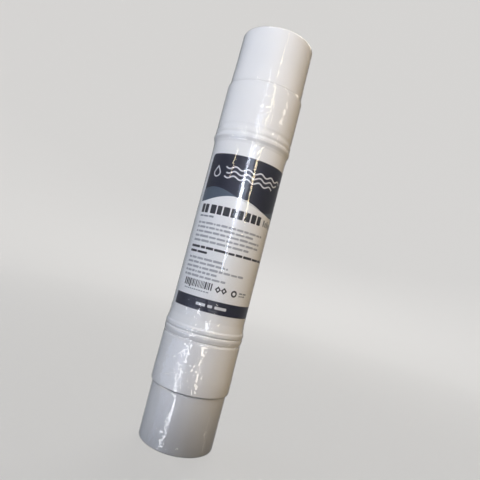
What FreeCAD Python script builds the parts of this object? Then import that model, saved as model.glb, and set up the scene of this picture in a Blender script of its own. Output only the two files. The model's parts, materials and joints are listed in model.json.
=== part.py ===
import FreeCAD, Part
import math
import os

os.makedirs("parts", exist_ok=True)
V = FreeCAD.Vector

# Encapsulated membrane element, standing on its inlet end. Millimetres.
# The axis is Z, the inlet end is at z = 0 and the outlet end is at the top.
# The label faces -Y.

# ---- driving dimensions ------------------------------------------------------
length = 280.0            # over the film lips at both ends
film = 0.15               # thickness of the shrunk film
loose = 0.02              # air under the film
rim_low = film + loose    # end face of the inlet skirt
rim_high = length - rim_low  # end face of the outlet skirt

skirt_r_rim = 24.72       # outer radius of both skirts at the rim
skirt_r_step = 24.95      # the same beside the collar (mould draft)
skirt_bore_r = 22.50      # inner radius of both skirts
rim_round = 0.80
collar_r = 26.15
collar_r_flare = 26.35    # the inlet collar is a little fuller at its outer edge

step_low = 37.90          # outer edge of the inlet collar
flare_from = 47.0
flare_to = 54.0
collar_low_ease = 69.30   # the inlet collar starts to taper here
collar_low_end = (25.80, 70.50)      # radius and height of its inner edge
groove_low_r = 25.35      # floor of the narrow groove between inlet collar and weld ring
ring_low_foot = 25.90     # the inlet weld ring tapers down to this towards the collar
ring_low_full = 73.50     # and reaches its crest here
ring_low = (71.10, 75.00, 26.45)     # weld ring of the inlet cap: from, to, crest
joint_low = 75.60                    # weld plane between inlet cap and tube
flange_low = (76.00, 78.20, 26.48)   # weld ring of the tube, inlet side
flange_low_foot = ((25.86, 79.30), (25.20, 84.20))    # it runs out into the tube here
flange_high_foot = ((25.20, 200.20), (25.62, 202.00))
flange_high = (204.00, 205.30, 26.60)
flange_high_end = 206.60  # foot of its flank beside the weld
joint_high = 206.90
ring_high = (208.20, 209.30, 26.35)  # crest of the outlet cap's weld ring
ring_high_feet = (207.15, 211.00)    # feet of its two sloping flanks
groove_high_r = 25.90     # floor of the shallow groove between outlet collar and weld ring
collar_high_foot = 212.00
collar_high_start = 213.40
step_high = 242.00
joint_low_r = 25.70       # outer radius at the inlet weld plane
joint_high_r = 26.02      # outer radius at the outlet weld plane
ring_round = 0.40
soft_round = 0.80

tube_r = 25.20
bore_r = 22.00            # pressure bore of tube and caps
tongue = (23.20, 24.20, 1.50)        # weld tongue: inner radius, outer radius, height
recess = 9.0              # outer face of each end wall below its rim
web = 4.0                 # thickness of each end wall

pad_r = 10.4              # raised pad round each port
pad_recess = 6.5          # face of the pads, and the ports' mouths, below the rim
boss_r = 9.4              # boss of each port inside the chamber
boss_low_end = 24.0       # inner end of the inlet boss
boss_high_end = 254.0     # inner end of the outlet bosses
thread_r = 6.58           # root radius of the 1/4 inch female pipe thread
thread_len = 12.0
lead_in = 1.0             # chamfer at the port's mouth
port_hole_r = 4.0
port_offset = 11.5        # outlet ports to each side of the axis
rib_t = 1.6
rib_recess = 7.2          # outer ribs below the rim

label_t = 0.10
label_low = 89.80
label_high = 191.60
label_start = 204.6       # degrees, counter-clockwise from +X, of its left edge
label_span = 270.0

core_r = 8.50             # permeate tube
core_bore_r = 6.20
core_low = 32.0
core_high = 250.6
core_hole_r = 1.2
roll_r = 20.60
tape_r = 20.90
roll_low = 40.0
roll_high = 238.0
disc_r = 21.40
feed_disc_low = 34.0
brine_disc_high = 242.4
seal_groove = (19.20, 35.50, 38.60)  # in the feed disc: bottom radius, from, to
socket_r = 8.75
manifold_r = 10.90
manifold_low = 243.60
manifold_high = boss_high_end
oring_z = (245.6, 248.2)
oring_r = 0.725
oring_groove_r = 7.30
oring_groove_w = 1.80
brine_hole = (14.5, 2.2)  # offset and radius of the brine passage in the outlet wall


# ---- helpers -----------------------------------------------------------------
def wire(points):
    """Closed wire in the XZ plane through (r, z[, corner radius]) points."""
    flat = []
    for p in points:
        flat.append((V(p[0], 0, p[1]), p[2] if len(p) > 2 else 0.0))
    n = len(flat)
    ends = []
    for i in range(n):
        p, rad = flat[i]
        a = (flat[i - 1][0] - p).normalize()
        b = (flat[(i + 1) % n][0] - p).normalize()
        angle = a.getAngle(b)
        if rad <= 0 or abs(angle - math.pi) < 1e-6:
            ends.append((p, None, p))
            continue
        back = rad / math.tan(angle / 2)
        mid_dir = (a + b).normalize()
        middle = p + mid_dir * (rad / math.sin(angle / 2) - rad)
        ends.append((p + a * back, middle, p + b * back))
    edges = []
    for i in range(n):
        start, middle, stop = ends[i]
        if middle is not None:
            edges.append(Part.Arc(start, middle, stop).toShape())
        following = ends[(i + 1) % n][0]
        if (following - stop).Length > 1e-6:
            edges.append(Part.LineSegment(stop, following).toShape())
    return Part.Wire(edges)


def turned(points):
    return Part.Face(wire(points)).revolve(V(0, 0, 0), V(0, 0, 1), 360)


def rod(x, y, low, high, r):
    return Part.makeCylinder(r, high - low, V(x, y, low), V(0, 0, 1))


def tube(low, high, outer, inner):
    return rod(0, 0, low, high, outer).cut(rod(0, 0, low - 1, high + 1, inner))


def rib(x, y, angle, start, stop, low, high, thick):
    """Radial wall from start to stop along angle, seen from (x, y)."""
    block = Part.makeBox(stop - start, thick, high - low, V(start, -thick / 2, low))
    block.rotate(V(0, 0, 0), V(0, 0, 1), angle)
    block.translate(V(x, y, 0))
    return block


def union(first, others):
    shape = first
    for other in others:
        shape = shape.fuse(other)
    return shape.removeSplitter()


def offset_path(path, distance):
    """Moves an open (r, z, corner radius) path sideways, to its right-hand side."""
    moved = []
    for i, p in enumerate(path):
        normals = []
        for a, b in ((i - 1, i), (i, i + 1)):
            if a >= 0 and b < len(path):
                dr, dz = path[b][0] - path[a][0], path[b][1] - path[a][1]
                size = math.hypot(dr, dz)
                normals.append((dz / size, -dr / size))
        if len(normals) == 1:
            nr, nz = normals[0]
            turn = 0.0
        else:
            (ar, az), (br, bz) = normals
            turn = ar * bz - az * br
            scale = 1.0 + ar * br + az * bz
            nr, nz = (ar + br) / scale, (az + bz) / scale
        rad = p[2] if len(p) > 2 else 0.0
        if rad > 0:
            rad = rad + distance if turn > 0 else max(rad - distance, 0.05)
        moved.append((p[0] + nr * distance, p[1] + nz * distance, rad))
    return moved


def save(shape, name):
    solids = shape.Solids
    if len(solids) == 1:
        shape = solids[0]
    assert shape.isValid() and len(solids) >= 1, name
    shape.exportStep("parts/" + name + ".step")
    print("%-22s solids %d  volume %9.1f mm3" % (name, len(solids), shape.Volume))
    return shape


# ---- end caps ----------------------------------------------------------------
def port(x, mouth, sign):
    """Cutting tool of one threaded port; sign is +1 when the mouth faces up."""
    chamfer = Part.makeCone(thread_r + lead_in, thread_r, lead_in,
                            V(x, 0, mouth), V(0, 0, -sign))
    bore = Part.makeCylinder(thread_r, thread_len + lead_in, V(x, 0, mouth), V(0, 0, -sign))
    floor = mouth - sign * (thread_len + lead_in)
    drill = Part.makeCone(thread_r, port_hole_r, 1.5, V(x, 0, floor), V(0, 0, -sign))
    return [chamfer, bore, drill]


def inlet_cap():
    face = rim_low + recess
    mouth = rim_low + pad_recess
    a, b, crest = ring_low
    body = turned([
        (0, mouth),
        (pad_r, mouth, 0.4),
        (pad_r, face, 0.4),
        (skirt_bore_r - 0.15, face, 0.8),
        (skirt_bore_r, rim_low + 0.35),
        (skirt_bore_r + 0.35, rim_low),
        (skirt_r_rim, rim_low, rim_round),
        (skirt_r_step, step_low, 0.25),
        (collar_r_flare, step_low, 0.6),
        (collar_r_flare, flare_from, 40.0),
        (collar_r, flare_to, 40.0),
        (collar_r, collar_low_ease, 2.0),
        collar_low_end + (0.25,),
        (groove_low_r, collar_low_end[1], 0.15),
        (groove_low_r, a, 0.15),
        (ring_low_foot, a, 0.25),
        (crest, ring_low_full, 1.0),
        (crest, b, ring_round),
        (joint_low_r, b, 0.2),
        (joint_low_r, joint_low),
        (tongue[1], joint_low),
        (tongue[1], joint_low + tongue[2], 0.2),
        (tongue[0], joint_low + tongue[2], 0.2),
        (tongue[0], joint_low),
        (bore_r, joint_low),
        (bore_r, face + web, 2.0),
        (boss_r, face + web, 1.0),
        (boss_r, boss_low_end, 0.5),
        (0, boss_low_end),
    ])
    outer_ribs = [rib(0, 0, 45 * k, pad_r - 1.0, skirt_bore_r + 0.8,
                      rim_low + rib_recess, face + 0.5, rib_t) for k in range(8)]
    inner_ribs = [rib(0, 0, 45 + 90 * k, 12.0, bore_r + 0.8,
                      face + web - 0.5, feed_disc_low, 2.2) for k in range(4)]
    body = union(body, outer_ribs + inner_ribs)
    for tool in port(0, mouth, -1):
        body = body.cut(tool)
    return body.cut(rod(0, 0, mouth + 5, boss_low_end + 1, port_hole_r))


def outlet_cap():
    face = rim_high - recess
    mouth = rim_high - pad_recess
    a, b, crest = ring_high
    body = turned([
        (0, face),
        (0, face - web),
        (bore_r, face - web, 2.0),
        (bore_r, joint_high),
        (tongue[0], joint_high),
        (tongue[0], joint_high - tongue[2], 0.2),
        (tongue[1], joint_high - tongue[2], 0.2),
        (tongue[1], joint_high),
        (joint_high_r, joint_high),
        (joint_high_r, ring_high_feet[0], 0.3),
        (crest, a, soft_round),
        (crest, b, soft_round),
        (groove_high_r, ring_high_feet[1], soft_round),
        (groove_high_r, collar_high_foot, soft_round),
        (collar_r, collar_high_start, 1.0),
        (collar_r, step_high, 0.6),
        (skirt_r_step, step_high, 0.25),
        (skirt_r_rim, rim_high, rim_round),
        (skirt_bore_r + 0.35, rim_high),
        (skirt_bore_r, rim_high - 0.35),
        (skirt_bore_r - 0.15, face, 0.8),
    ])
    # One oblong pad outside and one oblong boss inside carry both ports.
    pad = oblong(port_offset, pad_r, face - 0.5, mouth)
    pad = pad.common(rod(0, 0, face - 1, mouth + 1, skirt_bore_r + 0.5))
    boss = oblong(port_offset, boss_r, boss_high_end, face - web + 0.5)
    outer_ribs = [rib(0, 0, turn, 9.0, skirt_bore_r + 0.8, face - 0.5,
                      rim_high - rib_recess, rib_t) for turn in (60, 90, 120, 240, 270, 300)]
    inner_ribs = [rib(0, 0, 45 + 90 * k, 12.5, bore_r + 0.8,
                      brine_disc_high, face - web + 0.5, 2.2) for k in range(4)]
    body = union(body, [pad, boss] + outer_ribs + inner_ribs)
    for side in (-1, 1):
        for tool in port(side * port_offset, mouth, 1):
            body = body.cut(tool)
    floor = mouth - thread_len - lead_in
    body = body.cut(rod(-port_offset, 0, boss_high_end - 1, floor, 3.0))
    # The brine passage leaves the chamber beside the manifold, then meets its port.
    return body.cut(rod(brine_hole[0], 0, boss_high_end - 1, floor, brine_hole[1]))


def oblong(half, r, low, high):
    """Upright block with round ends, centred on the axis, its ends' centres at x = +-half."""
    return union(Part.makeBox(2 * half, 2 * r, high - low, V(-half, -r, low)),
                 [rod(-half, 0, low, high, r), rod(half, 0, low, high, r)])


inlet_end_cap = save(inlet_cap(), "inlet_end_cap")
outlet_end_cap = save(outlet_cap(), "outlet_end_cap")

# ---- housing tube ------------------------------------------------------------
low_a, low_b, low_crest = flange_low
high_a, high_b, high_crest = flange_high
body_tube = save(turned([
    (bore_r, joint_low),
    (tongue[0], joint_low),
    (tongue[0], joint_low + tongue[2], 0.2),
    (tongue[1], joint_low + tongue[2], 0.2),
    (tongue[1], joint_low),
    (joint_low_r, joint_low),
    (joint_low_r, low_a, 0.2),
    (low_crest, low_a, ring_round),
    (low_crest, low_b, soft_round),
    flange_low_foot[0] + (1.0,),
    flange_low_foot[1] + (4.0,),
    flange_high_foot[0] + (2.0,),
    flange_high_foot[1] + (0.8,),
    (high_crest, high_a, soft_round),
    (high_crest, high_b, soft_round),
    (joint_high_r, flange_high_end, 0.3),
    (joint_high_r, joint_high),
    (tongue[1], joint_high),
    (tongue[1], joint_high - tongue[2], 0.2),
    (tongue[0], joint_high - tongue[2], 0.2),
    (tongue[0], joint_high),
    (bore_r, joint_high),
]), "body_tube")

# ---- label -------------------------------------------------------------------
label_face = Part.Face(wire([
    (tube_r, label_low), (tube_r + label_t, label_low),
    (tube_r + label_t, label_high), (tube_r, label_high)]))
label_shape = label_face.revolve(V(0, 0, 0), V(0, 0, 1), label_span)
label_shape.rotate(V(0, 0, 0), V(0, 0, 1), label_start)
label = save(label_shape, "label")

# ---- shrunk film -------------------------------------------------------------
# It touches the skirts, collars and weld rings, and bridges the grooves and steps.
film_r = tube_r + label_t
inside = [
    (22.95, rim_low),
    (skirt_r_rim, rim_low, rim_round),
    (24.943, 36.75, 1.0),
    (26.35, 38.252, 0.6),
    (26.35, flare_from, 40.0),
    (26.15, flare_to, 40.0),
    (26.15, 69.38, 2.0),
    (25.82, 70.61, 0.2),
    (26.45, 73.40, 1.0),
    (26.45, 74.80, 0.4),
    (25.80, 75.35, 0.15),
    (25.80, 75.68, 0.15),
    (26.48, 76.20, 0.4),
    (26.48, 78.24, 0.8),
    (25.90, 79.32, 1.0),
    (film_r, 84.9, 8.0),
    (film_r, 195.5, 8.0),
    (25.50, 199.4, 4.0),
    (25.72, 201.70, 1.0),
    (26.60, 203.95, 0.8),
    (26.60, 205.35, 0.8),
    (26.08, 206.50, 0.4),
    (26.08, 207.20, 0.4),
    (26.35, 208.10, 0.8),
    (26.35, 209.40, 0.8),
    (25.94, 211.00, 0.8),
    (25.94, 212.00, 0.8),
    (26.15, 213.20, 1.0),
    (26.15, 241.55, 0.6),
    (25.33, 243.50, 2.0),
    (25.10, 246.20, 4.0),
    (25.10, 251.00, 8.0),
    (24.868, 256.00, 8.0),
    (skirt_r_rim, rim_high, rim_round),
    (22.95, rim_high),
]
skin = offset_path(inside, loose)
outside = offset_path(skin, film)
shrink_film = save(turned(skin + outside[::-1]), "shrink_film")

# ---- membrane roll and its core ----------------------------------------------
membrane_roll = save(tube(roll_low, roll_high, roll_r, core_r), "membrane_roll")
wrap_tape = save(tube(roll_low, roll_high, tape_r, roll_r), "wrap_tape")

core = tube(core_low, core_high, core_r, core_bore_r)
for k in range(12):
    direction = V(1, 0, 0) if k % 2 else V(0, 1, 0)
    z = 51.0 + 16.0 * k
    core = core.cut(Part.makeCylinder(core_hole_r, 24, V(0, 0, z) - direction * 12, direction))
for z in oring_z:
    core = core.cut(tube(z - oring_groove_w / 2, z + oring_groove_w / 2,
                         core_r + 1, oring_groove_r))
permeate_tube = save(core, "permeate_tube")

permeate_tube_plug = save(turned([
    (0, core_low - 2.6), (core_r, core_low - 2.6, 0.5), (core_r, core_low),
    (core_bore_r, core_low), (core_bore_r, core_low + 7.0, 0.8), (0, core_low + 7.0),
]), "permeate_tube_plug")

for name, z in zip(("permeate_seal_inner", "permeate_seal_outer"), oring_z):
    save(Part.makeTorus(oring_groove_r + oring_r, oring_r, V(0, 0, z), V(0, 0, 1)), name)


# ---- end discs ---------------------------------------------------------------
def spoked(low, high, rim_in, spokes):
    rim = tube(low, high, disc_r, rim_in)
    hub = tube(low, high, 10.8, core_r)
    arms = [rib(0, 0, 360.0 * k / spokes, 9.8, rim_in + 1.0, low, high, 2.0)
            for k in range(spokes)]
    return union(rim, [hub] + arms)


groove_floor, groove_a, groove_b = seal_groove
feed_disc = spoked(feed_disc_low, roll_low, 17.6, 6)
feed_disc = feed_disc.cut(tube(groove_a, groove_b, disc_r + 1, groove_floor))
feed_end_disc = save(feed_disc, "feed_end_disc")
brine_end_disc = save(spoked(roll_high, brine_disc_high, 17.6, 6), "brine_end_disc")

brine_seal = save(turned([
    (groove_floor, groove_b), (groove_floor, groove_a), (groove_floor + 0.7, groove_a, 0.2),
    (groove_floor + 0.9, groove_a + 1.7, 0.2), (groove_floor + 1.5, groove_a + 1.7, 0.2),
    (bore_r - 0.65, groove_a + 0.1, 0.1), (bore_r, groove_a + 0.3, 0.3),
    (bore_r, groove_a + 0.9, 0.3), (bore_r - 0.55, groove_b, 0.3),
]), "brine_seal")

# ---- permeate manifold -------------------------------------------------------
manifold = union(rod(0, 0, manifold_low, manifold_high, manifold_r), [
    Part.makeBox(port_offset, 10.4, 5.0, V(-port_offset, -5.2, manifold_high - 5.0)),
    rod(-port_offset, 0, manifold_high - 5.0, manifold_high, 5.2)])
manifold = manifold.cut(rod(0, 0, manifold_low - 1, core_high + 0.4, socket_r))
manifold = manifold.cut(rod(0, 0, core_high, manifold_high + 1, 7.4))
manifold = manifold.cut(Part.makeBox(port_offset, 6.8, 4.0, V(-port_offset, -3.4, manifold_high - 3.4)))
manifold = manifold.cut(rod(-port_offset, 0, manifold_high - 3.4, manifold_high + 1, 3.4))
permeate_manifold = save(manifold, "permeate_manifold")
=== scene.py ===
import json
import math
import random

import bpy
import numpy as np
from mathutils import Matrix, Vector, geometry

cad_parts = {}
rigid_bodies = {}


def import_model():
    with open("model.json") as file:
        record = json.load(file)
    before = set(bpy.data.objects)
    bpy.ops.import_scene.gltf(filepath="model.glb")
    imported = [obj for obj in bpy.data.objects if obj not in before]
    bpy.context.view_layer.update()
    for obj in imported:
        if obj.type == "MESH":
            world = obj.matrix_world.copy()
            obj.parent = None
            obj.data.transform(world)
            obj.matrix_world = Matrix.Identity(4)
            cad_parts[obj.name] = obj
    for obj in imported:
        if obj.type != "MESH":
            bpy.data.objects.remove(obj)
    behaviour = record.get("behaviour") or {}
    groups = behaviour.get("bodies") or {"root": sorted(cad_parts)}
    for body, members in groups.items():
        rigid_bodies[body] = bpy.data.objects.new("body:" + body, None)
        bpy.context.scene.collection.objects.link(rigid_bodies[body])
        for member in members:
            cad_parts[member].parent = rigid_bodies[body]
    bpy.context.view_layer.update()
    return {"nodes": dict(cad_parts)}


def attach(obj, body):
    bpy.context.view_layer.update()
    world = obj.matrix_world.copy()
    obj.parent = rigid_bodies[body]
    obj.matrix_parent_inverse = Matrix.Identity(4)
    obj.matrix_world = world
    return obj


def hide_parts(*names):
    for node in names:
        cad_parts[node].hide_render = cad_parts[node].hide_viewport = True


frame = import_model()
nodes = frame["nodes"]

MM = 0.001
scene = bpy.context.scene


# ---- small helpers -----------------------------------------------------------
def mesh_object(name, points, faces, smooth=True, sharp=None):
    mesh = bpy.data.meshes.new(name)
    mesh.from_pydata([tuple(p) for p in points], [], [tuple(f) for f in faces])
    mesh.update()
    if smooth:
        mesh.shade_smooth()
    if sharp:
        mesh.set_sharp_from_angle(angle=math.radians(sharp))
    obj = bpy.data.objects.new(name, mesh)
    scene.collection.objects.link(obj)
    return obj


def on_object(obj, slot, *replaced):
    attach(obj, "root")
    if replaced:
        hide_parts(*replaced)
    return obj


def lattice(seed, nu, nz):
    return np.random.default_rng(seed).random((nz, nu))


def noise(seed, turns, z, nu, cell):
    """Smooth value noise from 0 to 1 that closes round the circle: turns is 0..1 round the axis,
    nu the number of cells round it, z in mm and cell the height of a cell in mm."""
    nz = 400
    table = lattice(seed, nu, nz)
    a = (turns % 1.0) * nu
    b = (z / cell + 37.0) % (nz - 2)
    ia, ib = np.floor(a).astype(int), np.floor(b).astype(int)
    fa, fb = a - ia, b - ib
    fa, fb = fa * fa * (3 - 2 * fa), fb * fb * (3 - 2 * fb)
    ia %= nu
    ja = (ia + 1) % nu
    low = table[ib, ia] * (1 - fa) + table[ib, ja] * fa
    high = table[ib + 1, ia] * (1 - fa) + table[ib + 1, ja] * fa
    return low * (1 - fb) + high * fb


def bell(x, middle, width):
    return np.exp(-((x - middle) / width) ** 2)


def window(x, low, high, soft):
    return 1 / (1 + np.exp(-(x - low) / soft)) / (1 + np.exp((x - high) / soft))


# ---- material helpers --------------------------------------------------------
class Nodes:
    """A short way to write a node tree."""

    def __init__(self, name):
        self.material = bpy.data.materials.new(name)
        self.material.use_nodes = True
        self.tree = self.material.node_tree
        self.tree.nodes.clear()
        self.output = self.tree.nodes.new("ShaderNodeOutputMaterial")
        self.place = self.tree.nodes.new("ShaderNodeTexCoord").outputs["Object"]

    def node(self, kind, settings=None, **values):
        made = self.tree.nodes.new(kind)
        for key, value in (settings or {}).items():
            setattr(made, key, value)
        for key, value in values.items():
            socket = made.inputs[int(key[1:])] if key[0] == "i" and key[1:].isdigit() \
                else made.inputs[key.replace("_", " ")]
            if isinstance(value, bpy.types.NodeSocket):
                self.tree.links.new(value, socket)
            else:
                socket.default_value = value
        return made

    def math(self, operation, a, b=0.0, clamp=False):
        return self.node("ShaderNodeMath", {"operation": operation, "use_clamp": clamp},
                         i0=a, i1=b).outputs[0]

    def stretched(self, sx, sy, sz):
        return self.node("ShaderNodeMapping", {"vector_type": "POINT"}, Vector=self.place,
                         Scale=(sx, sy, sz)).outputs[0]

    def noise(self, scale, detail=2.0, rough=0.5, at=None, distortion=0.0):
        return self.node("ShaderNodeTexNoise", Vector=at or self.place, Scale=scale,
                         Detail=detail, Roughness=rough, Distortion=distortion).outputs[0]

    def ramp(self, value, stops):
        made = self.node("ShaderNodeValToRGB", Fac=value)
        elements = made.color_ramp.elements
        while len(elements) < len(stops):
            elements.new(0.5)
        for element, (at, colour) in zip(elements, stops):
            element.position = at
            element.color = (*colour, 1.0) if len(colour) == 3 else colour
        return made.outputs[0]

    def remap(self, value, low, high, to_low, to_high):
        return self.node("ShaderNodeMapRange", {"clamp": True}, i0=value, i1=low, i2=high,
                         i3=to_low, i4=to_high).outputs[0]

    def bump(self, height, strength, distance, before=None):
        made = self.node("ShaderNodeBump", Strength=strength, Distance=distance, Height=height)
        if before is not None:
            self.tree.links.new(before, made.inputs["Normal"])
        return made.outputs[0]

    def surface(self, shader):
        self.tree.links.new(shader, self.output.inputs["Surface"])
        return self.material


def moulded(name, dark, light, rough=(0.32, 0.46), grain=0.000012, soft=0.0, specular=0.5, corners=()):
    """Moulded plastic: faint clouding in the colour, fine skin texture and flow marks. corners
    lists (height, half width, share left) for concave corners where the colour is darkened as painted shade."""
    n = Nodes(name)
    cloud = n.noise(38.0, 3.0, 0.55)
    flow = n.noise(1.0, 2.0, 0.5, at=n.stretched(160, 160, 14))
    tone = n.math("ADD", n.math("MULTIPLY", cloud, 0.7), n.math("MULTIPLY", flow, 0.3))
    colour = n.ramp(tone, [(0.30, dark), (0.70, light)])
    # Painted shade: a thin band round each listed corner height has its colour darkened, down to the share left.
    for height, half, left in corners:
        off = n.math("ABSOLUTE", n.math("SUBTRACT", n.node("ShaderNodeSeparateXYZ", Vector=n.place).outputs[2], height))
        corner_shade = n.remap(off, half * 0.4, half * 1.6, left, 1.0)
        colour = n.node("ShaderNodeVectorMath", {"operation": "SCALE"}, i0=colour, i3=corner_shade).outputs[0]
    skin = n.noise(2600.0, 2.0, 0.6)
    normal = n.bump(skin, 0.25, grain)
    normal = n.bump(flow, 0.2, grain * 5, normal)
    shader = n.node("ShaderNodeBsdfPrincipled", Base_Color=colour, Normal=normal,
                    Roughness=n.remap(n.noise(90.0, 3.0), 0.3, 0.7, *rough))
    shader.inputs["Specular IOR Level"].default_value = specular
    if soft:
        shader.inputs["Subsurface Weight"].default_value = soft
        shader.inputs["Subsurface Radius"].default_value = (0.0022, 0.0020, 0.0018)
        shader.inputs["Subsurface Scale"].default_value = 1.0
    return n.surface(shader.outputs[0])


def printed(name, dark, light, rough=0.42, fleck=0.0, fleck_colour=(0.8, 0.8, 0.8)):
    """Ink on label paper: slight unevenness of the ink and the paper's fine tooth."""
    n = Nodes(name)
    tone = n.math("ADD", n.math("MULTIPLY", n.noise(60.0, 4.0, 0.6), 0.6),
                  n.math("MULTIPLY", n.noise(1500.0, 2.0, 0.6), 0.4))
    colour = n.ramp(tone, [(0.34, dark), (0.66, light)])
    if fleck:
        spots = n.math("GREATER_THAN", n.noise(5200.0, 2.0, 0.7), 1.0 - fleck)
        colour = n.node("ShaderNodeMix", {"data_type": "RGBA"}, i0=n.math("MULTIPLY", spots, 0.5),
                        i6=colour, i7=(*fleck_colour, 1.0)).outputs[2]
    normal = n.bump(n.noise(3800.0, 2.0, 0.6), 0.25, 0.000012)
    shader = n.node("ShaderNodeBsdfPrincipled", Base_Color=colour, Normal=normal,
                    Roughness=n.remap(n.noise(420.0, 2.0), 0.3, 0.7, rough - 0.05, rough + 0.05))
    return n.surface(shader.outputs[0])


def clear_film(name):
    """Clear shrunk film: mirror gloss that grows towards the limb, a trace of haze,
    draw lines along the axis, and a crinkle of small flat facets, most of them nearly smooth."""
    n = Nodes(name)
    draw = n.noise(1.0, 2.0, 0.5, at=n.stretched(420, 420, 22))
    ripple = n.noise(1.0, 2.0, 0.5, at=n.stretched(260, 260, 150), distortion=0.5)
    crinkle = n.noise(1.0, 3.0, 0.55, at=n.stretched(760, 760, 430), distortion=0.5)
    height = n.node("ShaderNodeSeparateXYZ", Vector=n.place).outputs[2]

    def near(middle, reach, soft, most):
        off = n.math("ABSOLUTE", n.math("SUBTRACT", height, middle))
        return n.remap(off, reach + soft, reach, 0.0, most)

    parts = [near(0.006, 0.004, 0.014, 0.23), near(0.0765, 0.008, 0.005, 0.16), near(0.050, 0.004, 0.012, 0.24),
             near(0.2085, 0.007, 0.010, 0.22), near(0.226, 0.010, 0.008, 0.09), near(0.242, 0.001, 0.010, 0.05),
             near(0.279, 0.001, 0.010, 0.10)]
    amount = parts[0]
    for part in parts[1:]:
        amount = n.math("ADD", amount, part)
    amount = n.math("ADD", amount, 0.026, clamp=True)
    normal = n.bump(draw, 0.30, 0.00005)
    normal = n.bump(ripple, 0.35, 0.00013, normal)
    normal = n.bump(n.math("MULTIPLY", crinkle, amount), 0.25, 0.00010, normal)
    cells = n.node("ShaderNodeTexVoronoi", {"feature": "F1"}, Vector=n.stretched(980, 980, 760), Scale=1.0)

    def vector(operation, a, b):
        return n.node("ShaderNodeVectorMath", {"operation": operation}, i0=a, i1=b).outputs[0]

    lean = vector("SUBTRACT", vector("MULTIPLY", cells.outputs["Color"], (2.0, 2.0, 2.0)), (1.0, 1.0, 1.0))
    lean = vector("MULTIPLY", vector("MULTIPLY", lean, lean), lean)
    # The lean dies away towards the limb, where it would turn facets away from all light.
    steep = n.node("ShaderNodeLayerWeight", Blend=0.5).outputs["Facing"]
    kept = n.remap(steep, 0.30, 0.85, 0.60, 0.06)
    lean = n.node("ShaderNodeVectorMath", {"operation": "SCALE"}, i0=lean,
                  i3=n.math("MULTIPLY", amount, kept)).outputs[0]
    normal = n.node("ShaderNodeVectorMath", {"operation": "NORMALIZE"}, i0=vector("ADD", normal, lean)).outputs[0]
    gloss = n.node("ShaderNodeBsdfGlossy", Color=(1.0, 1.0, 1.0, 1.0), Roughness=0.045, Normal=normal)
    edge = n.node("ShaderNodeFresnel", IOR=1.50, Normal=normal).outputs[0]
    facing = n.math("SUBTRACT", 1.0, n.node("ShaderNodeNewGeometry").outputs["Backfacing"])
    share = n.math("MULTIPLY", n.math("MULTIPLY", edge, 1.05), facing, clamp=True)
    haze_tone = n.remap(n.noise(1.0, 3.0, 0.6, at=n.stretched(300, 300, 60)), 0.35, 0.75, 0.002, 0.010)
    haze = n.node("ShaderNodeBsdfDiffuse", Color=(0.93, 0.94, 0.97, 1.0), Normal=normal)
    clear = n.node("ShaderNodeBsdfTransparent", Color=(0.985, 0.985, 0.99, 1.0))
    body = n.node("ShaderNodeMixShader", i0=n.math("MULTIPLY", haze_tone, facing),
                  i1=clear.outputs[0], i2=haze.outputs[0])
    return n.surface(n.node("ShaderNodeMixShader", i0=share, i1=body.outputs[0],
                            i2=gloss.outputs[0]).outputs[0])


def wound(name):
    """Wound membrane: fine turns on the ends."""
    n = Nodes(name)
    xyz = n.node("ShaderNodeSeparateXYZ", Vector=n.place)
    radius = n.math("SQRT", n.math("ADD", n.math("MULTIPLY", xyz.outputs[0], xyz.outputs[0]),
                                   n.math("MULTIPLY", xyz.outputs[1], xyz.outputs[1])))
    angle = n.math("DIVIDE", n.math("ARCTAN2", xyz.outputs[1], xyz.outputs[0]), 2 * math.pi)
    turn = n.math("FRACT", n.math("ADD", n.math("MULTIPLY", radius, 1300.0), angle))
    wobble = n.math("ADD", turn, n.math("MULTIPLY", n.noise(700.0), 0.25))
    colour = n.ramp(wobble, [(0.15, (0.36, 0.35, 0.31)), (0.40, (0.62, 0.60, 0.52)), (0.95, (0.74, 0.72, 0.64))])
    shader = n.node("ShaderNodeBsdfPrincipled", Base_Color=colour, Roughness=0.7,
                    Normal=n.bump(wobble, 0.5, 0.0002))
    return n.surface(shader.outputs[0])


def rubber(name):
    n = Nodes(name)
    colour = n.ramp(n.noise(240.0, 3.0), [(0.3, (0.012, 0.012, 0.013)), (0.7, (0.028, 0.028, 0.030))])
    shader = n.node("ShaderNodeBsdfPrincipled", Base_Color=colour,
                    Roughness=n.remap(n.noise(500.0), 0.3, 0.7, 0.42, 0.58),
                    Normal=n.bump(n.noise(3000.0), 0.2, 0.00001))
    return n.surface(shader.outputs[0])


def taped(name):
    n = Nodes(name)
    weave = n.noise(1.0, 2.0, 0.5, at=n.stretched(500, 500, 70))
    colour = n.ramp(weave, [(0.3, (0.028, 0.11, 0.32)), (0.7, (0.05, 0.17, 0.42))])
    shader = n.node("ShaderNodeBsdfPrincipled", Base_Color=colour, Roughness=0.3,
                    Normal=n.bump(weave, 0.3, 0.00003))
    return n.surface(shader.outputs[0])


# ---- materials ---------------------------------------------------------------
# The band at 242.35 mm is painted shade in the concave corner above the upper collar's step.
cap_white = moulded("cap_white", (0.800, 0.805, 0.822), (0.842, 0.846, 0.858), soft=0.12, corners=((0.24235, 0.00042, 0.74),))
tube_white = moulded("tube_white", (0.790, 0.797, 0.815), (0.832, 0.838, 0.852), soft=0.12)
core_white = moulded("core_white", (0.70, 0.70, 0.68), (0.78, 0.78, 0.76), rough=(0.45, 0.6))
disc_grey = moulded("disc_grey", (0.62, 0.63, 0.64), (0.70, 0.71, 0.72), rough=(0.45, 0.6))
film_clear = clear_film("film_clear")

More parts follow.
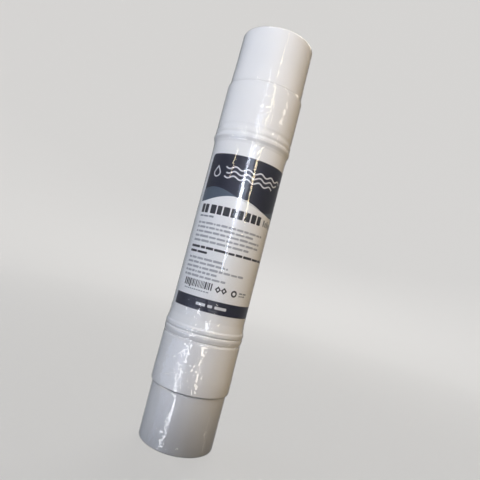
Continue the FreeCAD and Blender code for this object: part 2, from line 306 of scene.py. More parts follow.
paper = printed("paper", (0.790, 0.802, 0.830), (0.850, 0.858, 0.876), rough=0.40)
navy = printed("navy", (0.0125, 0.0145, 0.0290), (0.0175, 0.0195, 0.0380), rough=0.36,
               fleck=0.26, fleck_colour=(0.045, 0.045, 0.070))
slate = printed("slate", (0.066, 0.090, 0.130), (0.088, 0.116, 0.158), rough=0.36)
ink = printed("ink", (0.018, 0.019, 0.026), (0.034, 0.035, 0.045), rough=0.40)
grey_ink = printed("grey_ink", (0.225, 0.245, 0.280), (0.300, 0.320, 0.360), rough=0.42)
soft_ink = printed("soft_ink", (0.330, 0.345, 0.380), (0.410, 0.425, 0.460), rough=0.42)
light_ink = printed("light_ink", (0.640, 0.655, 0.700), (0.740, 0.750, 0.785), rough=0.40)

by_node = {
    "inlet_end_cap": cap_white,
    "outlet_end_cap": cap_white,
    "body_tube": tube_white,
    "membrane_roll": wound("membrane_turns"),
    "wrap_tape": taped("blue_tape"),
    "permeate_tube": core_white,
    "permeate_tube_plug": core_white,
    "permeate_seal_inner": rubber("black_rubber"),
    "feed_end_disc": disc_grey,
    "brine_end_disc": disc_grey,
    "permeate_manifold": disc_grey,
}
by_node["permeate_seal_outer"] = by_node["brine_seal"] = by_node["permeate_seal_inner"]
for name, material in by_node.items():
    data = nodes[name].data
    data.materials.clear()
    data.materials.append(material)

# ---- label -------------------------------------------------------------------
# Drawn flat first: u runs round the tube from the front line (-Y) towards +X and z is the
# height, both in mm. Every mark is one closed outline; later outlines lie over earlier ones.
LABEL_R, LABEL_BACK_R = 25.30, 25.20
U_R = 25.45
LABEL_FROM = math.radians(-65.4) * U_R
LABEL_TO = math.radians(-65.4 + 270.0) * U_R
LABEL_LOW, LABEL_HIGH = 89.80, 191.60
PAPER, NAVY, SLATE, INK, GREY, SOFT, LIGHT = range(7)
outlines = []


def mark(points, colour):
    inside = [(min(max(u, LABEL_FROM), LABEL_TO), min(max(z, LABEL_LOW), LABEL_HIGH)) for u, z in points]
    area = sum(a[0] * b[1] - b[0] * a[1] for a, b in zip(inside, inside[1:] + inside[:1]))
    if area < 0:
        inside.reverse()
    outlines.append(([Vector(p) for p in inside], colour))


def bar(u0, u1, z0, z1, colour, corner=0.0):
    c = min(corner, (u1 - u0) / 2 - 0.01, (z1 - z0) / 2 - 0.01)
    if c <= 0.02:
        mark([(u0, z0), (u1, z0), (u1, z1), (u0, z1)], colour)
        return
    points = []
    for cu, cz, start in ((u1 - c, z0 + c, -90), (u1 - c, z1 - c, 0), (u0 + c, z1 - c, 90), (u0 + c, z0 + c, 180)):
        for k in range(4):
            a = math.radians(start + 30 * k)
            points.append((cu + c * math.cos(a), cz + c * math.sin(a)))
    mark(points, colour)


def disc(u, z, r, colour, steps=28):
    mark([(u + r * math.cos(2 * math.pi * k / steps), z + r * math.sin(2 * math.pi * k / steps))
          for k in range(steps)], colour)


def stroke(path, width, colour):
    left, right = [], []
    for i, (u, z) in enumerate(path):
        a, b = path[max(i - 1, 0)], path[min(i + 1, len(path) - 1)]
        du, dz = b[0] - a[0], b[1] - a[1]
        size = math.hypot(du, dz)
        left.append((u - dz / size * width / 2, z + du / size * width / 2))
        right.append((u + dz / size * width / 2, z - du / size * width / 2))
    mark(left + right[::-1], colour)


def words(seed, u0, u1, z, tall, colour, mean=5.0):
    """A line of small print, drawn as plain bars of word length."""
    rng = random.Random(seed)
    u = u0
    while u < u1 - 0.8:
        end = min(u + max(1.2, rng.gauss(mean, mean * 0.42)), u1)
        if u1 - end < 1.2:
            end = u1
        high = tall * rng.uniform(0.92, 1.12)
        bar(u, end, z - tall / 2, z - tall / 2 + high, colour, corner=tall * 0.28)
        u = end + min(tall * 0.62, 0.62)


def field_edge(u):
    return 161.4 + 3.2 * math.sin(2 * math.pi * (u + 16.5) / 62.0)


def accent_edge(u):
    return 164.2 + 4.6 * math.cos(2 * math.pi * (u + 18.0) / 70.0)


steps = [LABEL_FROM + (LABEL_TO - LABEL_FROM) * k / 160 for k in range(161)]
# Dark header above a wave, with a slate crest between the two.
# The header's upper left corner is rounded, and a sliver of bare paper is left round it.
HEAD_FROM, HEAD_HIGH, HEAD_ROUND = LABEL_FROM + 0.25, LABEL_HIGH - 0.25, 2.6
corner = [(HEAD_FROM + HEAD_ROUND * (1 - math.sin(math.radians(a))), HEAD_HIGH - HEAD_ROUND * (1 - math.cos(math.radians(a))))
          for a in range(0, 91, 15)]
across = [u for u in steps if u > HEAD_FROM]
mark([(HEAD_FROM, field_edge(HEAD_FROM))] + [(u, field_edge(u)) for u in across]
     + [(LABEL_TO, HEAD_HIGH)] + corner, NAVY)
for lobe in (0, 1):
    crest = [u for u in steps if accent_edge(u) > field_edge(u) + 0.02
             and (u < 30) == (lobe == 0)]
    if len(crest) > 2:
        mark([(u, field_edge(u)) for u in crest] + [(u, accent_edge(u)) for u in reversed(crest)], SLATE)
# Dark band along the bottom.
bar(LABEL_FROM, LABEL_TO, LABEL_LOW, 97.8, NAVY)

# Header motif: a drop beside three rows of ripples.
for middle, high in ((-19.6, 179.3),):
    drop = []
    for k in range(40):
        a = 2 * math.pi * k / 40
        drop.append((middle + 3.1 * math.cos(a) * (1.0 if math.sin(a) < 0 else (1 - math.sin(a)) ** 0.62),
                     high - 0.8 + (3.1 if math.sin(a) < 0 else 5.0) * math.sin(a)))
    mark(drop, LIGHT)
    mark([(middle + (u - middle) * 0.70, high - 0.9 + (z - high + 0.9) * 0.72) for u, z in drop], NAVY)
for row, (start, stop) in enumerate(((-13.2, 31.5), (-12.2, 27.5), (-13.2, 22.5))):
    z = 182.6 - 3.1 * row
    path = [(start + (stop - start) * k / 72, z + 0.85 * math.sin(2 * math.pi * (start + (stop - start) * k / 72) / 8.6))
            for k in range(73)]
    stroke(path, 0.92, LIGHT)
for k in range(3):
    stroke([(44 + 34 * j / 60, 182.6 - 3.1 * k + 0.85 * math.sin(2 * math.pi * (34 * j / 60) / 8.6)) for j in range(61)],
           0.92, LIGHT)

# Heading and small print as bars.
for k in range(2):
    bar(-25.6 + 3.75 * k, -22.55 + 3.75 * k, 151.1, 156.9, INK, 0.45)
for k, wide in enumerate((4.3, 3.3, 4.3, 3.6, 3.6, 3.9, 3.7, 3.2)):
    start = -16.9 + sum((4.3, 3.3, 4.3, 3.6, 3.6, 3.9, 3.7, 3.2)[:k]) + 0.95 * k
    bar(start, start + wide, 151.1, 156.9, INK, 0.45)
for k in range(5):
    bar(22.6 + 2.35 * k, 24.3 + 2.35 * k, 151.6, 154.6 + (1.2 if k in (0, 2) else 0.0), GREY, 0.4)
words(4, -25.5, -13.0, 149.0, 1.15, GREY, 3.4)
for k, (z, stop) in enumerate(((144.5, 25.0), (141.7, 17.0), (138.8, 24.0), (135.8, 24.0), (132.8, 16.0))):
    words(10 + k, -25.2, stop, z, 1.32, SOFT, 4.4)
words(20, -25.9, 34.0, 128.7, 1.45, INK, 5.5)
words(21, -25.9, -11.0, 125.6, 1.45, INK, 5.0)
for k, (z, stop) in enumerate(((121.5, 1.0), (118.7, 5.0), (115.8, 17.0), (113.0, -1.0), (110.2, 5.5))):
    words(30 + k, -25.5, stop, z, 1.32, SOFT, 4.4)

# Stripe block with short ticks under it.
rng = random.Random(5)
u = -23.0
while u < -2.4:
    wide = rng.choice((0.45, 0.8, 1.1))
    bar(u, u + wide, 103.4 if rng.random() > 0.12 else 102.6, 108.0, INK)
    u += wide + rng.choice((0.5, 0.7))
words(50, -22.0, -3.4, 101.7, 0.75, GREY, 0.9)

# Plain marks beside it: a diamond pair, a ring, two short lines.
for u in (2.0, 6.0):
    mark([(u - 2.0, 105.1), (u, 102.9), (u + 2.0, 105.1), (u, 107.3)], INK)
    mark([(u - 0.8, 105.1), (u, 104.2), (u + 0.8, 105.1), (u, 106.0)], PAPER)
disc(13.2, 104.7, 2.2, INK)
disc(13.2, 104.7, 1.1, PAPER)
words(52, 17.2, 23.8, 105.6, 0.9, GREY, 2.4)
words(53, 17.2, 22.6, 103.9, 0.9, GREY, 2.4)

# Light dashes in the bottom band.
for a, b in ((-9.6, -3.4), (-1.9, 1.2), (2.7, 10.6), (40.0, 47.0), (48.6, 58.5)):
    bar(a, b, 92.9, 94.7, LIGHT, 0.4)

# Second panel, round the right-hand side.
bar(36.0, 51.5, 151.6, 154.6, INK, 0.5)
bar(53.0, 61.0, 151.6, 154.6, INK, 0.5)
for k in range(7):
    words(60 + k, 36.0, 84.5 - (11.0 if k in (2, 6) else 2.5 * (k % 3)), 147.0 - 2.9 * k, 1.15, GREY)
bar(36.0, 84.5, 124.6, 124.95, INK)
for k in range(5):
    words(80 + k, 36.0, 55.5 - 2.2 * (k % 3), 122.1 - 3.3 * k, 1.15, GREY, 4.4)
    words(90 + k, 62.0, 76.5 + 2.0 * (k % 2), 122.1 - 3.3 * k, 1.15, GREY, 3.6)
    bar(36.0, 84.5, 120.3 - 3.3 * k, 120.45 - 3.3 * k, GREY)
bar(59.0, 59.25, 105.4, 124.6, GREY)
words(99, 36.0, 66.0, 102.0, 1.15, GREY)


def build_label():
    points, edges, faces, colours = [], [], [], []

    def add(outline, colour):
        first = len(points)
        points.extend(outline)
        faces.append(list(range(first, first + len(outline))))
        colours.append(colour)

    add([Vector((LABEL_FROM, LABEL_LOW)), Vector((LABEL_TO, LABEL_LOW)),
         Vector((LABEL_TO, LABEL_HIGH)), Vector((LABEL_FROM, LABEL_HIGH))], PAPER)
    for outline, colour in outlines:
        add(outline, colour)
    count = 84
    for k in range(1, count):
        u = LABEL_FROM + (LABEL_TO - LABEL_FROM) * k / count + 0.0037
        edges.append((len(points), len(points) + 1))
        points.extend([Vector((u, LABEL_LOW)), Vector((u, LABEL_HIGH))])
    flat, _, tris, _, _, source = geometry.delaunay_2d_cdt(points, edges, faces, 1, 1e-5, True)
    flat = np.array([(p[0], p[1]) for p in flat])
    used, indices = [], []
    for tri, from_faces in zip(tris, source):
        if not from_faces:
            continue
        corner = flat[list(tri)]
        area = np.cross(corner[1] - corner[0], corner[2] - corner[0]) / 2
        if abs(area) < 1e-9:
            continue
        used.append(list(tri) if area > 0 else list(tri)[::-1])
        indices.append(colours[max(from_faces)])
    phi = flat[:, 0] / U_R
    # The sheet lies a few hundredths of a millimetre up and down on the tube.
    turns = (phi / (2 * math.pi)) % 1.0
    lift = 0.006 * noise(11, turns, flat[:, 1], 60, 9.0)

    def around(r):
        return np.stack([r * np.sin(phi), -r * np.cos(phi), flat[:, 1]], 1) * MM

    outer, inner = around(LABEL_R - 0.008 + lift), around(np.full(len(phi), LABEL_BACK_R))
    n = len(flat)
    solid = [tuple(t) for t in used] + [(t[2] + n, t[1] + n, t[0] + n) for t in used]
    colour_of = indices + [PAPER] * len(used)
    seen = {}
    for t in used:
        for a, b in ((t[0], t[1]), (t[1], t[2]), (t[2], t[0])):
            seen[(a, b)] = True
    for a, b in list(seen):
        if (b, a) not in seen:
            solid.append((b, a, a + n, b + n))
            colour_of.append(PAPER)
    obj = mesh_object("printed_label", np.vstack([outer, inner]), solid, sharp=40)
    for material in (paper, navy, slate, ink, grey_ink, soft_ink, light_ink):
        obj.data.materials.append(material)
    obj.data.polygons.foreach_set("material_index", np.array(colour_of, np.int32))
    obj.data.update()
    return obj


label = on_object(build_label(), "label_print", "label")

# ---- shrunk film -------------------------------------------------------------
FILM, LOOSE = 0.15, 0.02
RIM = FILM + LOOSE
over = [
    (22.95, RIM), (24.72, RIM, 0.80), (24.943, 36.75, 1.0), (26.35, 38.252, 0.6), (26.35, 47.0, 40.0),
    (26.15, 54.0, 40.0), (26.15, 69.38, 2.0), (25.82, 70.61, 0.2), (26.45, 73.40, 1.0), (26.45, 74.80, 0.4),
    (25.80, 75.35, 0.15), (25.80, 75.68, 0.15), (26.48, 76.20, 0.4), (26.48, 78.24, 0.8), (25.90, 79.32, 1.0),
    (25.30, 84.9, 8.0), (25.30, 195.5, 8.0), (25.50, 199.4, 4.0), (25.72, 201.70, 1.0), (26.60, 203.95, 0.8),
    (26.60, 205.35, 0.8), (26.08, 206.50, 0.4), (26.08, 207.20, 0.4), (26.35, 208.10, 0.8), (26.35, 209.40, 0.8),
    (25.94, 211.00, 0.8), (25.94, 212.00, 0.8), (26.15, 213.20, 1.0), (26.15, 241.55, 0.6), (25.33, 243.50, 2.0),
    (25.10, 246.20, 4.0), (25.10, 251.00, 8.0), (24.868, 256.00, 8.0), (24.72, 280.0 - RIM, 0.80),
    (22.95, 280.0 - RIM),
]


def moved(path, distance):
    """The path moved sideways, away from the plastic."""
    out = []
    for i, p in enumerate(path):
        normals = []
        for a, b in ((i - 1, i), (i, i + 1)):
            if a >= 0 and b < len(path):
                dr, dz = path[b][0] - path[a][0], path[b][1] - path[a][1]
                size = math.hypot(dr, dz)
                normals.append((dz / size, -dr / size))
        turn = 0.0
        if len(normals) == 1:
            nr, nz = normals[0]
        else:
            (ar, az), (br, bz) = normals
            turn = ar * bz - az * br
            scale = 1.0 + ar * br + az * bz
            nr, nz = (ar + br) / scale, (az + bz) / scale
        rad = p[2] if len(p) > 2 else 0.0
        if rad > 0:
            rad = rad + distance if turn > 0 else max(rad - distance, 0.05)
        out.append((p[0] + nr * distance, p[1] + nz * distance, rad))
    return out


def rounded(path, per_corner):
    """Dense points along the path with its corners rounded."""
    dense = []
    for i, p in enumerate(path):
        here = np.array(p[:2])
        if i in (0, len(path) - 1) or p[2] <= 0:
            dense.append(here)
            continue
        a = np.array(path[i - 1][:2]) - here
        b = np.array(path[i + 1][:2]) - here
        a, b = a / np.linalg.norm(a), b / np.linalg.norm(b)
        half = math.acos(max(-1, min(1, float(a @ b)))) / 2
        back = p[2] / math.tan(half)
        centre = here + (a + b) / np.linalg.norm(a + b) * p[2] / math.sin(half)
        start, stop = here + a * back - centre, here + b * back - centre
        sweep = math.atan2(start[0] * stop[1] - start[1] * stop[0], float(start @ stop))
        count = max(1, int(round(per_corner * abs(sweep) / 1.5)))
        for k in range(count + 1):
            t = sweep * k / count
            c, s = math.cos(t), math.sin(t)
            dense.append(centre + np.array([c * start[0] - s * start[1], s * start[0] + c * start[1]]))
    return np.array(dense)


def rows_along(path, per_corner, gaps):
    """Rows for the mesh: every corner point, and more between them as gaps(z) asks."""
    corners = rounded(path, per_corner)
    rows = [corners[0]]
    for a, b in zip(corners[:-1], corners[1:]):
        size = float(np.linalg.norm(b - a))
        if size < 1e-4:
            continue
        pieces = max(1, int(round(size / gaps((a[1] + b[1]) / 2))))
        for k in range(1, pieces + 1):
            rows.append(a + (b - a) * k / pieces)
    return np.array(rows)


def film_gap(z):
    if z < 1.5 or z > 278.5:
        return 0.55
    if 68 < z < 88 or 200 < z < 214:
        return 0.66
    if z < 14 or 34 < z < 42 or 44 < z < 90 or 238 < z < 256:
        return 1.05
    return 1.9


def lift(turns, z):
    """How far the film stands off, in mm: draw ridges along the axis, puckers where it bridges
    grooves and steps, a crumpled end, and a few pinched folds."""
    out = 0.050 * noise(1, turns, z, 26, 46.0)
    out += 0.034 * noise(2, turns, z, 58, 15.0)
    # Drawn tighter, so calmer, on the lower skirt.
    out *= 1.0 - 0.5 * window(z, 13.0, 37.0, 3.0)
    out += 0.020 * noise(3, turns, z, 120, 6.0)
    # Grooves and rings, lower group: little blisters.
    low_group = window(z, 67.5, 88.0, 1.6)
    out += low_group * (0.10 * noise(4, turns, z, 60, 3.0) ** 2 + 0.05 * noise(5, turns, z, 120, 2.0) ** 2)
    high_group = window(z, 198.0, 217.0, 1.6)
    out += high_group * (0.07 * noise(6, turns, z, 60, 3.2) ** 2 + 0.04 * noise(7, turns, z, 130, 1.8) ** 2)
    # The straight part of both collars keeps some puckers, which thin out away from the rings.
    out += window(z, 44.0, 70.0, 4.0) * 0.075 * noise(8, turns, z, 96, 3.0) ** 3
    out += window(z, 216.0, 238.0, 4.0) * 0.090 * noise(18, turns, z, 80, 4.5) ** 3
    # Pleats over both steps, finer and longer at the top.
    out += window(z, 34.0, 39.5, 0.9) * 0.09 * noise(9, turns, z, 95, 40.0) ** 2
    out += window(z, 239.0, 258.0, 2.0) * 0.05 * noise(10, turns, z, 64, 60.0) ** 2
    # Crumpled towards both rims.
    out += window(z, -5.0, 13.0, 3.0) * (0.055 * noise(12, turns, z, 96, 3.2) ** 2 + 0.035 * noise(13, turns, z, 150, 2.0) ** 2)
    out += window(z, 270.0, 290.0, 3.0) * 0.05 * noise(14, turns, z, 84, 3.6) ** 2
    # Pinched folds: (degrees from the front, height, across in degrees, along in mm, height in mm).
    for at, high, across, along, tall in (
            (-86.0, 86.6, 2.2, 1.3, 0.60), (-90.5, 83.2, 1.8, 0.9, 0.42), (-84.0, 80.4, 2.4, 0.9, 0.34),
            (97.0, 81.6, 2.0, 1.0, 0.30), (150.0, 84.5, 1.8, 1.8, 0.45), (-140.0, 212.2, 2.0, 1.1, 0.35),
            (96.0, 71.0, 2.0, 1.2, 0.25), (-88.0, 211.6, 2.0, 0.8, 0.22), (60.0, 69.0, 2.2, 1.0, 0.14),
            (34.8, 229.6, 1.6, 1.0, 0.03), (35.6, 222.0, 1.3, 1.6, 0.03), (1.5, 222.5, 1.5, 1.4, 0.06)):
        off = (turns * 360.0 - at + 180.0) % 360.0 - 180.0
        out += tall * bell(off, 0.0, across) * bell(z, high, along)
    # Beads of trapped air round the lower rings: (degrees from the front, height).
    for at, high in ((-17.5, 87.2), (-14.2, 85.4), (-19.2, 84.4), (-15.8, 82.4), (-21.4, 81.0), (-13.6, 80.2),
                     (-17.8, 78.9), (-15.9, 75.8), (-19.4, 72.8), (-24.8, 86.0), (-27.5, 83.4), (4.8, 85.8),
                     (8.8, 84.2), (12.2, 85.4), (6.6, 80.6), (14.6, 82.8), (38.0, 84.6), (-48.0, 85.2), (-61.0, 81.4)):
        off = (turns * 360.0 - at + 180.0) % 360.0 - 180.0
        out += 0.075 * bell(off, 0.0, 1.4) * bell(z, high, 0.8)
    # The sleeve's welded seam runs up the back as a low, slightly wandering ridge.
    seam = (turns * 360.0 - 171.0 - 1.6 * np.sin(z / 33.0) + 180.0) % 360.0 - 180.0
    out += 0.10 * bell(seam, 0.0, 1.0)
    return out


def build_film():
    count = 300
    turns = np.arange(count) / count
    phi = 2 * math.pi * turns
    outer = rows_along(moved(over, FILM + LOOSE), 5, film_gap)
    inner = rows_along(moved(over, LOOSE), 2, lambda z: 9.0)
    grid = []
    for layer, rows in enumerate((outer, inner[::-1])):
        along = np.gradient(rows, axis=0)
        along /= np.linalg.norm(along, axis=1)[:, None]
        if layer:
            along = -along
        for (r, z), (ar, az) in zip(rows, along):
            stand = lift(turns, np.full(count, z))
            nr, nz = az, -ar
            if z < 0.9 or z > 279.1:
                # On the end faces the film is pressed flat, and its cut edge wanders.
                stand = stand * max(0.0, min(1.0, (r - 24.0) / 0.7)) * 0.4
                share = max(0.0, min(1.0, (24.2 - r) / 1.25))
                wander = 0.55 * noise(21 if z < 140 else 22, turns, np.full(count, 0.0), 17, 10.0) \
                    + 0.22 * noise(23, turns, np.full(count, 0.0), 46, 10.0)
                rr = r + share * wander
            else:
                rr = np.full(count, r)
            if layer:
                stand = stand * 0.85
            rr = rr + nr * stand
            zz = np.clip(z + nz * stand * 0.6, 0.0, 280.0)
            grid.append(np.stack([rr * np.sin(phi), -rr * np.cos(phi), zz], 1))
    points = np.concatenate(grid) * MM
    total = len(grid)
    faces = []
    for i in range(total):
        a, b = i * count, ((i + 1) % total) * count
        for k in range(count):
            j = (k + 1) % count
            faces.append((a + k, a + j, b + j, b + k))
    obj = mesh_object("film_sleeve", points, faces)
    obj.data.materials.append(film_clear)
    print("film rows", len(outer), len(inner), "triangles", 2 * len(faces))
    return obj


film = on_object(build_film(), "clear_film", "shrink_film")


# ---- port threads ------------------------------------------------------------
def build_thread(name, x, mouth, sign):
    """The helical ridge of a 1/4 inch female pipe thread, which dies away at both ends."""
    root, crest, pitch, turns_of, per = 6.60, 5.72, 1.337, 8.6, 56
    profile = ((root, -0.60), (crest, -0.10), (crest, 0.10), (root, 0.60))
    total = int(turns_of * per)
    points, faces = [], []
    for i in range(total + 1):
        t = i / total
        grow = min(1.0, min(t, 1 - t) * turns_of / 0.45) ** 0.8
        a = 2 * math.pi * turns_of * t
        z = mouth - sign * (1.25 + pitch * turns_of * t)
        for r, dz in profile:
            rr = root - (root - r) * max(grow, 0.02)
            points.append(((x + rr * math.cos(a)) * MM, sign * rr * math.sin(a) * MM, (z + dz * max(grow, 0.05)) * MM))
    for i in range(total):
        for k in range(4):
            j = (k + 1) % 4
            faces.append((i * 4 + k, i * 4 + j, i * 4 + 4 + j, i * 4 + 4 + k))
    faces.append((3, 2, 1, 0))
    faces.append(tuple(total * 4 + k for k in range(4)))
    obj = mesh_object(name, points, faces, sharp=35)
    obj.data.materials.append(cap_white)
    return on_object(obj, "cap_plastic")


build_thread("feed_port_thread", 0.0, 6.67, -1)
build_thread("permeate_port_thread", -11.5, 273.33, 1)
build_thread("brine_port_thread", 11.5, 273.33, 1)


# ---- camera ------------------------------------------------------------------
pitch, yaw, roll = (math.radians(a) for a in (3.5707, -1.6168, -14.5054))
turn = Matrix.Rotation(yaw, 3, "Z") @ Matrix.Rotation(pitch, 3, "X") @ Matrix.Rotation(roll, 3, "Y")
right, forward, up = (turn @ Vector(v) for v in ((1, 0, 0), (0, 1, 0), (0, 0, 1)))
camera_data = bpy.data.cameras.new("camera")
camera_data.sensor_fit = "HORIZONTAL"
camera_data.sensor_width = 36.0
camera_data.lens = 31.91
camera_data.clip_start = 0.01
camera_data.clip_end = 20.0
camera = bpy.data.objects.new("camera", camera_data)
scene.collection.objects.link(camera)
EYE = Vector((0.0, -0.2929, 0.12211))
placed = Matrix.Identity(4)
for row in range(3):
    placed[row][0], placed[row][1], placed[row][2] = right[row], up[row], -forward[row]
placed.translation = EYE
camera.matrix_world = placed
scene.camera = camera


# ---- stage -------------------------------------------------------------------
# Three lamps light only the object, and the boards hold back only two of those, so that no board
# throws a shadow on the floor.
object_only = bpy.data.collections.new("object_only")
object_and_floor = bpy.data.collections.new("object_and_floor")
for piece in scene.objects:
    if piece.type == "MESH":
        object_only.objects.link(piece)
        object_and_floor.objects.link(piece)


def floor_material(name, colour, glow):
    """Pale, matt paper. It gives off a little light, more of it far out where the lamps are
    weak, so that floor and wall stay even."""
    n = Nodes(name)
    tone = n.ramp(n.noise(6.0, 3.0), [(0.35, tuple(c * 0.985 for c in colour)), (0.65, colour)])
    xyz = n.node("ShaderNodeSeparateXYZ", Vector=n.place)
    radius = n.math("SQRT", n.math("ADD", n.math("MULTIPLY", xyz.outputs[0], xyz.outputs[0]),
                                   n.math("MULTIPLY", xyz.outputs[1], xyz.outputs[1])))
    far = n.node("ShaderNodeMapRange", {"clamp": True, "interpolation_type": "SMOOTHERSTEP"},
                 i0=radius, i1=0.05, i2=1.5, i3=glow[0], i4=glow[1]).outputs[0]
    shader = n.node("ShaderNodeBsdfPrincipled", Base_Color=tone, Roughness=0.9, Emission_Strength=far)
    shader.inputs["Emission Color"].default_value = (1.0, 0.985, 0.965, 1.0)
    return n.surface(shader.outputs[0])


def build_floor():
    """A pale floor that curves up into a pale wall all round."""
    profile = [(0.0, 0.0), (0.2, 0.0), (0.5, 0.0), (0.8, 0.0)]
    for k in range(1, 33):
        a = math.radians(90 * k / 32)
        profile.append((0.8 + 1.4 * math.sin(a), 1.4 * (1 - math.cos(a))))
    profile += [(2.2, 2.0), (2.2, 3.0)]
    count, points, faces = 96, [(0, 0, 0)], []
    for r, z in profile[1:]:
        for k in range(count):
            a = 2 * math.pi * k / count
            points.append((r * math.cos(a), r * math.sin(a), z))
    for k in range(count):
        faces.append((0, 1 + k, 1 + (k + 1) % count))
    for i in range(len(profile) - 2):
        for k in range(count):
            j = (k + 1) % count
            a, b = 1 + i * count, 1 + (i + 1) * count
            faces.append((a + k, b + k, b + j, a + j))
    obj = mesh_object("floor", points, faces)
    obj.data.materials.append(floor_material("pale_floor", (0.14, 0.139, 0.137), (0.50, 0.64)))
    obj.visible_glossy = obj.visible_diffuse = False
    object_and_floor.objects.link(obj)
    return obj


build_floor()


def glow(name, points, faces, colour, strength):
    """A card of light that only shows in the film's gloss."""
    obj = mesh_object(name, points, faces, smooth=False)
    n = Nodes(name + "_light")
    n.surface(n.node("ShaderNodeEmission", Color=(*colour, 1.0), Strength=strength).outputs[0])
    n.material.cycles.emission_sampling = "NONE"
    obj.data.materials.append(n.material)
    obj.visible_camera = obj.visible_diffuse = obj.visible_transmission = obj.visible_shadow = False
    return obj


def streak(name, path, colour, strength, distance=1.0):
    """A bent strip light, placed so that the camera sees it reflected along path, which lists
    (u, z, width) on the film in mm: u round the tube from the front line."""
    points = []
    for u, z, wide in path:
        r = 25.07 if z < 38 or z > 244 else (26.32 if z < 70 or z > 213 else 25.50)
        for side in (-0.5, 0.5):
            phi = (u + side * wide) / U_R
            out = Vector((math.sin(phi), -math.cos(phi), 0.0))
            at = out * r * MM + Vector((0, 0, z * MM))
            ray = (at - EYE).normalized()
            points.append(at + (ray - 2 * ray.dot(out) * out) * distance)
    faces = [(2 * k, 2 * k + 1, 2 * k + 3, 2 * k + 2) for k in range(len(path) - 1)]
    return glow(name, points, faces, colour, strength)


def sparks(name, spots, low, high, colour, strength, distance=1.2):
    """Upright slivers of light well above or below all that the smooth film mirrors, so that only
    crinkles which lean far enough catch them. spots lists (u, z, width in degrees)."""
    points, faces, steps = [], [], 6
    for u, z, wide in spots:
        phi = u / U_R
        out = Vector((math.sin(phi), -math.cos(phi), 0.0))
        at = out * 26.3 * MM + Vector((0, 0, z * MM))
        ray = (at - EYE).normalized()
        ray = ray - 2 * ray.dot(out) * out
        azimuth = math.atan2(ray.y, ray.x)
        first = len(points)
        for k in range(steps + 1):
            e = math.radians(low + (high - low) * k / steps)
            for side in (-0.5, 0.5):
                a = azimuth + math.radians(side * wide)
                points.append(at + Vector((math.cos(a) * math.cos(e), math.sin(a) * math.cos(e), math.sin(e))) * distance)
        faces += [tuple(first + 2 * k + i for i in (0, 1, 3, 2)) for k in range(steps)]
    return glow(name, points, faces, colour, strength)


WARM, COOL, CREAM = (1.0, 0.90, 0.62), (0.80, 0.88, 1.0), (1.0, 0.94, 0.82)
LILAC = (0.66, 0.76, 1.0)
streak("strip_warm_top", [(4.6, 272, 0.15), (4.6, 264, 0.5), (4.4, 255, 0.8), (4.5, 244, 0.8)], WARM, 13.0)
streak("strip_warm", [(4.5, 243, 0.8), (5.2, 225, 0.8), (5.2, 210, 0.8), (5.5, 195, 0.8), (6.0, 175, 0.8), (6.8, 162, 0.9),
                      (7.4, 154, 0.6), (7.8, 149, 0.2)], WARM, 17.0)
streak("strip_cool_top", [(-0.8, 254, 0.2), (-0.6, 246, 0.6), (-0.1, 232, 0.5), (0.5, 222, 0.9), (0.4, 212, 1.2)], COOL, 8.0)
streak("strip_cool_upper", [(0.3, 206, 0.8), (0.3, 196, 1.5), (0.4, 186, 1.2), (0.5, 180, 1.1)], COOL, 14.0)
streak("strip_cool_lower", [(0.5, 180, 1.1), (0.7, 172, 2.0), (0.9, 162, 2.0), (1.2, 154, 1.0), (1.3, 148, 0.3)],
       (0.90, 0.95, 1.0), 25.0)
streak("strip_cool_tail", [(0.9, 142, 0.3), (0.9, 134, 1.0), (1.3, 125, 1.1), (1.6, 116, 0.3)], COOL, 14.0)
streak("strip_cool_broad", [(1.2, 210, 1.0), (1.4, 200, 4.4), (1.6, 180, 5.4), (1.4, 165, 5.6), (1.2, 150, 3.6),
                            (1.0, 138, 1.0)], LILAC, 3.2, 1.4)
streak("strip_left", [(-9.0, 204, 0.2), (-9.0, 197, 0.8), (-8.8, 184, 0.7), (-8.6, 177, 0.2)], WARM, 13.0)
PALE = (0.92, 0.94, 1.0)
streak("strip_low_top", [(-6.4, 92, 0.8), (-6.8, 82, 2.2), (-7.6, 72, 2.0), (-5.8, 66, 1.2), (-5.6, 57, 0.6)], PALE, 22.0)
streak("strip_low_fine", [(-9.0, 54, 0.3), (-9.0, 49, 1.1), (-8.6, 44, 0.8), (-8.2, 39, 0.6)], PALE, 23.0)
streak("strip_skirt_fine", [(-6.6, 37.6, 0.5), (-6.9, 31, 0.8), (-7.2, 23, 0.9), (-7.8, 15, 0.9), (-8.6, 6, 1.2), (-9.2, -4, 1.0), (-9.6, -12, 0.6)],
       PALE, 22.0)
streak("strip_low_broad", [(-11.5, 92, 5.0), (-12.5, 74, 13.0), (-13.0, 56, 15.0), (-12.5, 39, 14.0)], LILAC, 1.45, 1.4)
streak("strip_skirt_broad", [(-12.0, 37, 11.0), (-12.0, 24, 12.0), (-12.0, 8, 12.0), (-12.0, -1, 11.0)], LILAC, 0.8, 1.4)
streak("strip_low_right", [(3.6, 88, 0.4), (3.2, 78, 2.4), (2.6, 70, 1.0), (2.4, 62, 0.9), (1.8, 54, 0.7), (1.5, 47, 0.2)],
       CREAM, 21.0)
streak("strip_side_upper", [(-14.4, 89, 0.2), (-14.8, 86, 0.9), (-15.2, 82, 0.2)], PALE, 18.0)
streak("strip_side_lower", [(-11.6, 58, 0.2), (-11.8, 55, 0.9), (-12.0, 51, 0.2)], PALE, 17.0)
sparks("sparks_high", [(-9.0, 205, 3.0), (0.4, 205, 2.5), (5.2, 205, 3.0), (15.4, 228, 3.0)], 42, 62, CREAM, 32.0)
streak("strip_far_right", [(15.1, 235, 0.4), (15.3, 232, 1.2), (15.4, 228, 0.8), (15.5, 219, 0.9)], CREAM, 16.0)
streak("strip_low_edge", [(19.2, 22, 0.3), (19.3, 14, 0.8), (19.4, 4, 0.5)], CREAM, 4.0)
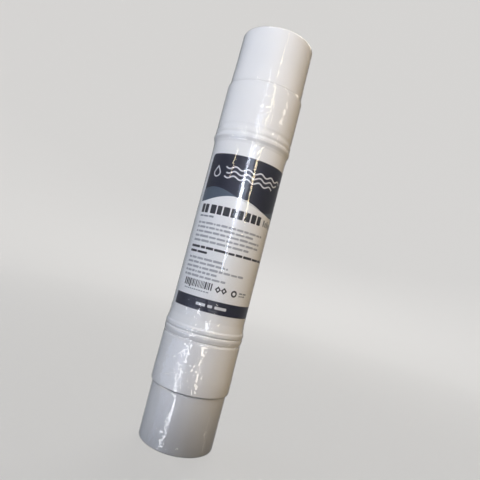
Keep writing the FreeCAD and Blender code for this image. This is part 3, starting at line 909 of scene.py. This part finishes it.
# A card up behind draws the rim's edge, and a low one the lower rim.
glow("rim_card_high", [(-0.10, 1.00, 0.98), (0.95, 0.70, 0.98), (0.75, 0.35, 1.75), (-0.10, 0.50, 1.75)], [(0, 1, 2, 3)],
     CREAM, 3.2)
glow("rim_card_low", [(-0.80, 0.80, -0.95), (0.05, 1.0, -0.95), (0.05, 0.6, -1.30), (-0.80, 0.45, -1.30)], [(0, 1, 2, 3)],
     CREAM, 1.8)


def shade(name, points, **rays):
    """A dark board out of the camera's sight that holds light back."""
    obj = mesh_object(name, points, [(0, 1, 2, 3)], smooth=False)
    n = Nodes(name + "_felt")
    obj.data.materials.append(n.surface(n.node("ShaderNodeBsdfDiffuse", Color=(0.01, 0.01, 0.01, 1.0)).outputs[0]))
    obj.visible_camera = obj.visible_glossy = obj.visible_transmission = False
    obj.visible_diffuse = rays.get("diffuse", False)
    obj.visible_shadow = rays.get("shadow", False)
    return obj


# Two stand low in front of the key and of the right-hand fill, so that the light thins out
# downwards, more on the right; one lies under the floor's middle and keeps the room's light from
# coming up through it.
shade("flag_front", [(-0.12, -0.105, -0.1), (0.12, -0.105, -0.1), (0.12, -0.105, 0.138), (-0.12, -0.105, 0.036)], shadow=True)
shade("flag_right", [(0.13, -0.30, -0.1), (0.13, 0.10, -0.1), (0.13, 0.10, 0.068), (0.13, -0.30, 0.068)], shadow=True)
shade("board_below", [(-0.45, -0.45, -0.004), (0.45, -0.45, -0.004), (0.45, 0.45, -0.004), (-0.45, 0.45, -0.004)],
      diffuse=True)


def lamp(name, at, aim, size, power, colour, shaded=False, floor=True):
    light = bpy.data.lights.new(name, "AREA")
    light.shape = "DISK"
    light.size = size
    light.energy = power
    light.color = colour
    obj = bpy.data.objects.new(name, light)
    scene.collection.objects.link(obj)
    obj.location = at
    obj.rotation_mode = "QUATERNION"
    obj.rotation_quaternion = (Vector(aim) - Vector(at)).to_track_quat("-Z", "Y")
    obj.visible_camera = False
    obj.visible_glossy = False
    if shaded or not floor:
        obj.light_linking.receiver_collection = object_only
    if not shaded:
        obj.light_linking.blocker_collection = object_and_floor
    return obj


lamp("key", (-0.09, -0.38, 0.315), (0, 0, 0.20), 0.24, 1.30, (0.97, 0.98, 1.0), shaded=True)
lamp("fill_right", (0.80, -0.26, 0.42), (0, 0, 0.16), 0.50, 2.7, (1.0, 0.69, 0.27), shaded=True)
lamp("rim_left", (-0.80, 0.20, 0.50), (0, 0, 0.16), 0.50, 1.5, (0.70, 0.83, 1.0))
lamp("fill_low", (-0.50, -0.34, 0.03), (0, 0, 0.07), 0.30, 0.50, (0.78, 0.85, 1.0), floor=False)
lamp("back", (0.25, 1.00, 0.95), (0, 0, 0.14), 0.80, 9.0, (1.0, 0.97, 0.93))

world = bpy.data.worlds.new("soft_room")
scene.world = world
world.use_nodes = True
world.node_tree.nodes["Background"].inputs["Color"].default_value = (0.95, 0.96, 1.0, 1.0)
world.node_tree.nodes["Background"].inputs["Strength"].default_value = 0.18

scene.view_settings.view_transform = "Standard"
scene.view_settings.look = "None"
